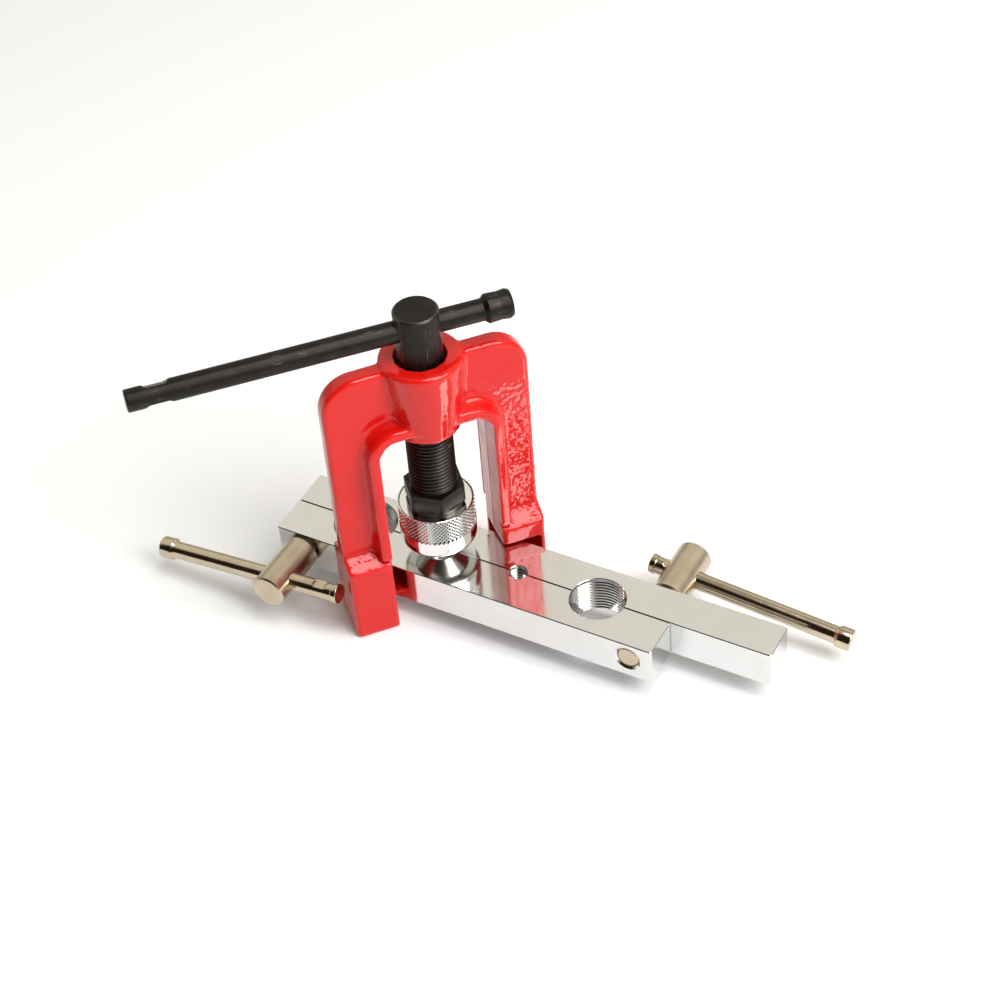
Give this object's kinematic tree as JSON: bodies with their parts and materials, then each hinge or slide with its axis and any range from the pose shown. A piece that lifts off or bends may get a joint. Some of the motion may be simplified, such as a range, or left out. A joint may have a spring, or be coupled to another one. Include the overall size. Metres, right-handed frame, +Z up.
{
  "type": "tube flaring tool",
  "caption": "Hand tube flaring tool: a split die bar with four gripping holes, and a slip-on yoke that feeds a cone by screw and handle.",
  "frame": {"origin": "under the middle of the whole tool's box, on the bench that the yoke's feet stand on", "axes": "+X along the die bars towards their long end, +Y across them towards the rear half, +Z up along the feed screw"},
  "size_m": [0.2356, 0.1086, 0.125],
  "materials": {
    "red_enamel": "thick gloss enamel over an iron casting",
    "black_oxide": "satin black oxide with worn edges",
    "bar_chrome": "ground and bright plated, softly mirroring",
    "cap_chrome": "bright, with a diamond knurl",
    "nickel": "warm satin nickel plate",
    "bright_steel": "hardened and ground"
  },
  "bodies": {
    "die_bars": {"rear_die_bar": "bar_chrome", "left_dowel": "bright_steel", "right_dowel": "bright_steel"},
    "front_half": {"front_die_bar": "bar_chrome"},
    "yoke_frame": {"yoke": "red_enamel"},
    "cone_group": {"flaring_cone": "bright_steel", "thrust_ball": "bright_steel"},
    "screw_group": {"feed_screw": "black_oxide", "knurled_cap": "cap_chrome"},
    "handle": {"t_handle": "black_oxide"},
    "front_clamp": {"front_clamp_screw": "nickel"},
    "front_tommy": {"front_tommy_bar": "nickel"},
    "rear_clamp": {"rear_clamp_screw": "nickel"},
    "rear_tommy": {"rear_tommy_bar": "nickel"}
  },
  "joints": [
    {"name": "front_half_open", "type": "slide", "parent": "die_bars", "child": "front_half", "axis": [0, -1, 0], "range_m": [0, 0.0008]},
    {"name": "yoke_slide", "type": "slide", "parent": "die_bars", "child": "yoke_frame", "axis": [-1, 0, 0], "range_m": [-0.038, 0]},
    {"name": "feed_advance", "type": "slide", "parent": "yoke_frame", "child": "cone_group", "axis": [0, 0, 1], "range_m": [-0.003, 0.025]},
    {"name": "feed_turn", "type": "hinge", "parent": "cone_group", "child": "screw_group", "pos_m": [-0.022, 0.01626, 0.1182], "axis": [0, 0, -1], "range_deg": [-6000, 720]},
    {"name": "handle_slide", "type": "slide", "parent": "screw_group", "child": "handle", "axis": [0.6845, 0.729, 0], "range_m": [-0.014, 0.071]},
    {"name": "front_clamp_turn", "type": "hinge", "parent": "die_bars", "child": "front_clamp", "pos_m": [-0.0688, 0.00119, 0.0155], "axis": [0, 1, 0], "range_deg": [-95, 95]},
    {"name": "front_tommy_slide", "type": "slide", "parent": "front_clamp", "child": "front_tommy", "axis": [-0.9957, 0, -0.0924], "range_m": [0, 0.008]},
    {"name": "rear_clamp_turn", "type": "hinge", "parent": "front_half", "child": "rear_clamp", "pos_m": [0.0558, 0.03054, 0.0155], "axis": [0, -1, 0], "range_deg": [-95, 95]},
    {"name": "rear_tommy_slide", "type": "slide", "parent": "rear_clamp", "child": "rear_tommy", "axis": [0.9962, 0, -0.0872], "range_m": [-0.04, 0.003]}
  ],
  "couplings": [
    {"joint": "feed_advance", "follows": "feed_turn", "m_per_rad": -0.00023873}
  ]
}
